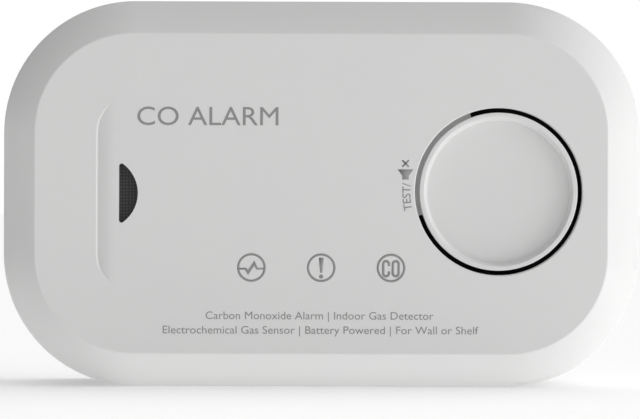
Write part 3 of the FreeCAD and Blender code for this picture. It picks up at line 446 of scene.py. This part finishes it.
# The crossed-out speaker beside the button, in millimetres from a place level with the button
SPEAKER = (BUTTON[0] - 17.4 * MM, BUTTON[1])
HORN = [(0, 2.2), (0, 2.9), (0, 4.1)]
HORN_WIDTHS = [0.60, 0.62, 1.47]
CROSS_UP = 5.2
CROSS = 0.62
CROSS_WIDTH = 0.17
stroke("speaker_horn", SPEAKER, HORN, HORN_WIDTHS)
for name, side in (("speaker_cross_rising", 1), ("speaker_cross_falling", -1)):
    stroke(name, SPEAKER, [(-CROSS, CROSS_UP - side * CROSS), (CROSS, CROSS_UP + side * CROSS)], CROSS_WIDTH)


# Strengths and places of the stage's lights
WORLD_RIGHT = 1.15
WORLD_ABOVE = 0.60
BACK_STRENGTH = 0.90
KEY_WATTS = 1.7
UNDER_WATTS = 0.36
FLOOR_GLOW = 0.165
BACK_HEIGHT_ANGLE = 70
BACK_SPREAD_ANGLE = 75
KEY_PLACE = (0.734, -0.272, MID_Z - 0.16)
KEY_SIZE = 0.34
UNDER_PLACE = (0, -0.03, -0.40)
UNDER_SIZE = (0.4, 0.3)


# ---- stage -----------------------------------------------------------------------------------

def studio_paper():
    """White translucent sheet of the stage, lit faintly from below: matt, with a slow drift of tone."""
    paper = grained("studio_paper", "#F2F2F2", "#EFEFEF", 0.9, 0.05, 2.0, 0.01, 1.4, cloud_mm=200.0)
    shader = next(node for node in paper.node_tree.nodes if node.type == "BSDF_PRINCIPLED")
    shader.inputs["Emission Color"].default_value = (1, 1, 1, 1)
    shader.inputs["Emission Strength"].default_value = FLOOR_GLOW
    return paper


def studio_floor():
    """A wide pale sheet under the alarm."""
    reach = 20.0
    mesh = bpy.data.meshes.new("floor")
    corners = [(-reach, -reach, 0), (reach, -reach, 0), (reach, reach, 0), (-reach, reach, 0)]
    mesh.from_pydata(corners, [], [(0, 1, 2, 3)])
    mesh.materials.append(studio_paper())
    floor = bpy.data.objects.new("floor", mesh)
    bpy.context.collection.objects.link(floor)
    stage_set.objects.link(floor)


def soft_box(name, place, aim, width, height, watts):
    """A rectangular soft light at a place, facing a point."""
    light = bpy.data.lights.new(name, "AREA")
    light.shape = "RECTANGLE"
    light.size = width
    light.size_y = height
    light.energy = watts
    lamp = bpy.data.objects.new(name, light)
    lamp.location = place
    lamp.rotation_euler = (Vector(aim) - Vector(place)).to_track_quat("-Z", "Y").to_euler()
    bpy.context.collection.objects.link(lamp)
    return lamp


def studio_world(from_right, from_above):
    """White surroundings. The camera sees them plain white. They light the alarm from the right and
    from above, each in proportion to that part of the direction, and not at all from elsewhere."""
    world = bpy.data.worlds.new("studio")
    bpy.context.scene.world = world
    world.use_nodes = True
    tree = world.node_tree
    tree.nodes.clear()
    toward = add(tree, "ShaderNodeTexCoord")
    part = add(tree, "ShaderNodeSeparateXYZ", {}, {"Vector": (toward, "Generated")})
    right = add(tree, "ShaderNodeMath", {1: 0.0}, {0: (part, "X")}, operation="MAXIMUM")
    above = add(tree, "ShaderNodeMath", {1: 0.0}, {0: (part, "Z")}, operation="MAXIMUM")
    sides = add(tree, "ShaderNodeMath", {1: from_right}, {0: (right, "Value")}, operation="MULTIPLY")
    strength = add(tree, "ShaderNodeMath", {1: from_above}, {0: (above, "Value"), 2: (sides, "Value")},
                   operation="MULTIPLY_ADD")
    soft = add(tree, "ShaderNodeBackground", {"Color": (1, 1, 1, 1)},
               {"Strength": (strength, "Value")})
    white = add(tree, "ShaderNodeBackground", {"Color": (1, 1, 1, 1), "Strength": 1.0})
    seen = add(tree, "ShaderNodeLightPath")
    both = add(tree, "ShaderNodeMixShader", {}, {0: (seen, "Is Camera Ray"), 1: (soft, 0), 2: (white, 0)})
    add(tree, "ShaderNodeOutputWorld", links={"Surface": (both, 0)})


def back_light(strength, height_angle, spread_angle):
    """A very soft far light from behind and above. It whitens the floor, on which the alarm throws
    its shadow forwards, and it is flagged off the alarm itself."""
    light = bpy.data.lights.new("back_light", "SUN")
    light.energy = strength
    light.angle = math.radians(spread_angle)
    lamp = bpy.data.objects.new("back_light", light)
    lamp.rotation_euler = (math.radians(height_angle - 90), 0, 0)
    bpy.context.collection.objects.link(lamp)
    lamp.light_linking.receiver_collection = stage_set


def camera():
    """A long lens almost square to the face, with the alarm filling the picture's width and
    standing a little above its middle."""
    distance = 0.65
    view_width = 120.94 * MM
    rim_y = FACE_Y + 7.0 * MM  # where the alarm is widest
    yaw = math.radians(-0.2)
    roll = math.radians(0.2)
    aim = Vector((-0.2 * MM, rim_y, MID_Z - 2.95 * MM))
    lens = bpy.data.cameras.new("camera")
    lens.sensor_width = 36.0
    lens.lens = lens.sensor_width * distance / view_width
    lens.clip_end = 50
    eye = bpy.data.objects.new("camera", lens)
    eye.location = aim + distance * Vector((-math.sin(yaw), -math.cos(yaw), 0))
    turn = (aim - eye.location).to_track_quat("-Z", "Y").to_euler()
    turn.rotate_axis("Z", roll)
    eye.rotation_euler = turn
    bpy.context.collection.objects.link(eye)
    bpy.context.scene.camera = eye


alarm_set = bpy.data.collections.new("alarm_set")
for node in frame["nodes"].values():
    alarm_set.objects.link(node)
stage_set = bpy.data.collections.new("stage_set")
studio_floor()
studio_world(WORLD_RIGHT, WORLD_ABOVE)
back_light(BACK_STRENGTH, BACK_HEIGHT_ANGLE, BACK_SPREAD_ANGLE)
key_light = soft_box("key_light", KEY_PLACE, (0, 0, MID_Z), KEY_SIZE, KEY_SIZE, KEY_WATTS)
under_light = soft_box("under_light", UNDER_PLACE, (0, 0, 0), *UNDER_SIZE, UNDER_WATTS)
for lamp in (key_light, under_light):
    lamp.light_linking.blocker_collection = alarm_set
camera()
bpy.context.scene.view_settings.view_transform = "Standard"
